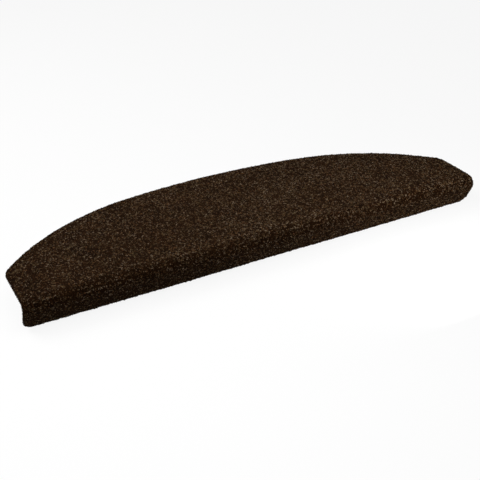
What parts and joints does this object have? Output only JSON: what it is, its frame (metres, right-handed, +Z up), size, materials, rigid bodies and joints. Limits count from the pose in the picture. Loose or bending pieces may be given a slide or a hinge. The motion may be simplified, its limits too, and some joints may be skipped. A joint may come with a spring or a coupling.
{
  "type": "stair tread mat",
  "caption": "Anti slip stair tread mat: one flat felt sheet with a bowed back edge and a lip folded down over the stair's nosing.",
  "frame": {"origin": "on the flat underside that lies on the tread, at mid length and half of the tread depth behind the sharp corner of the fold", "axes": "+X along the step, +Y towards the riser, +Z up out of the tread"},
  "size_m": [0.54, 0.1543, 0.0358],
  "materials": {
    "felt": "matt needled felt, dark brown with lighter tan fibres, cut edge slightly darker"
  },
  "bodies": {
    "root": {"tread_mat": "felt"}
  },
  "joints": []
}
